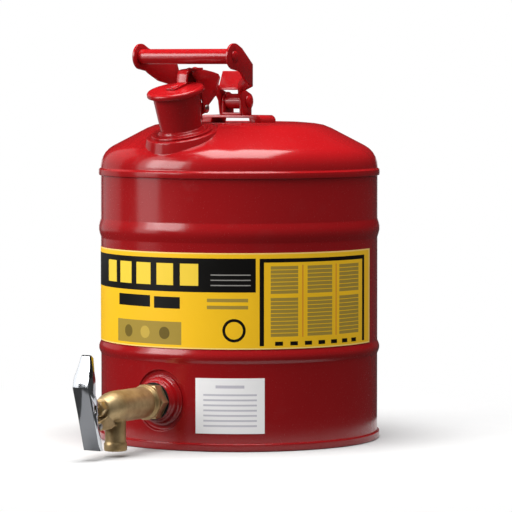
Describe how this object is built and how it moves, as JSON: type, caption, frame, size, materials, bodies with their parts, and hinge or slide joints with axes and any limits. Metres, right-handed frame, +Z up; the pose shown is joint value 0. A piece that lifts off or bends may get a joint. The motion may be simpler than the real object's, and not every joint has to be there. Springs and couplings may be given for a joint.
{
  "type": "safety can with faucet",
  "caption": "Round sheet steel safety can with a swing handle, a self-closing capped spout and a lever faucet near the bottom.",
  "frame": {"origin": "on the floor, on the can's axis", "axes": "+Z up along the can's axis; the spout, the handle's grip and the faucet point towards -Y; the grip lies along X"},
  "size_m": [0.2984, 0.4319, 0.4175],
  "materials": {
    "red_enamel": "gloss",
    "chrome": "polished",
    "zinc_steel": "satin",
    "brass": "satin",
    "black_rubber": "matt",
    "yellow_label": "satin",
    "white_label": "satin"
  },
  "bodies": {
    "can": {"body_shell": "red_enamel", "bottom_pan": "red_enamel", "top_dome": "red_enamel", "spout_tube": "red_enamel", "spout_flange": "red_enamel", "flame_arrester": "zinc_steel", "hinge_bracket": "red_enamel", "cap_hinge_pin": "zinc_steel", "cap_spring": "zinc_steel", "bracket_bridge": "red_enamel", "handle_bracket": "red_enamel", "pivot_spacer": "red_enamel", "pivot_rivet": "red_enamel", "faucet_bung": "red_enamel", "nipple_washer": "black_rubber", "faucet_nipple": "brass", "faucet_screen": "zinc_steel", "faucet_body": "brass", "packing_nut": "brass", "valve_spring": "zinc_steel", "lever_pin": "zinc_steel", "wrap_label": "yellow_label", "notice_label": "white_label"},
    "cap": {"spout_cap": "red_enamel", "cap_gasket": "black_rubber", "gasket_retainer": "zinc_steel", "cap_rivet": "red_enamel", "cap_strap": "red_enamel", "cap_lever": "red_enamel", "strap_rivets": "red_enamel"},
    "handle": {"handle_frame": "red_enamel", "grip_tube": "red_enamel", "grip_rod": "red_enamel"},
    "lever": {"faucet_lever": "chrome"},
    "stem": {"valve_stem": "brass", "drive_pin": "zinc_steel", "valve_washer": "black_rubber", "valve_screw": "brass"}
  },
  "joints": [
    {"name": "handle_swing", "type": "hinge", "parent": "can", "child": "handle", "pos_m": [0, -0.005, 0.35704], "axis": [-1, 0, 0], "range_deg": [0, 126]},
    {"name": "cap_hinge", "type": "hinge", "parent": "can", "child": "cap", "pos_m": [0, -0.07246, 0.35033], "axis": [-1, 0, 0], "range_deg": [0, 28], "stiffness_Nm_per_rad": 0.6, "springref_deg": -45.84, "deforming": ["cap_spring"]},
    {"name": "lever_pull", "type": "hinge", "parent": "can", "child": "lever", "pos_m": [0, -0.2598, 0.0343], "axis": [1, 0, 0], "range_deg": [0, 15], "stiffness_Nm_per_rad": 0.8, "springref_deg": -22.92},
    {"name": "stem_slide", "type": "slide", "parent": "can", "child": "stem", "axis": [0, -1, 0], "range_m": [0, 0.005], "deforming": ["valve_spring"]}
  ],
  "couplings": [
    {"joint": "stem_slide", "follows": "lever_pull", "m_per_rad": 0.0182}
  ]
}
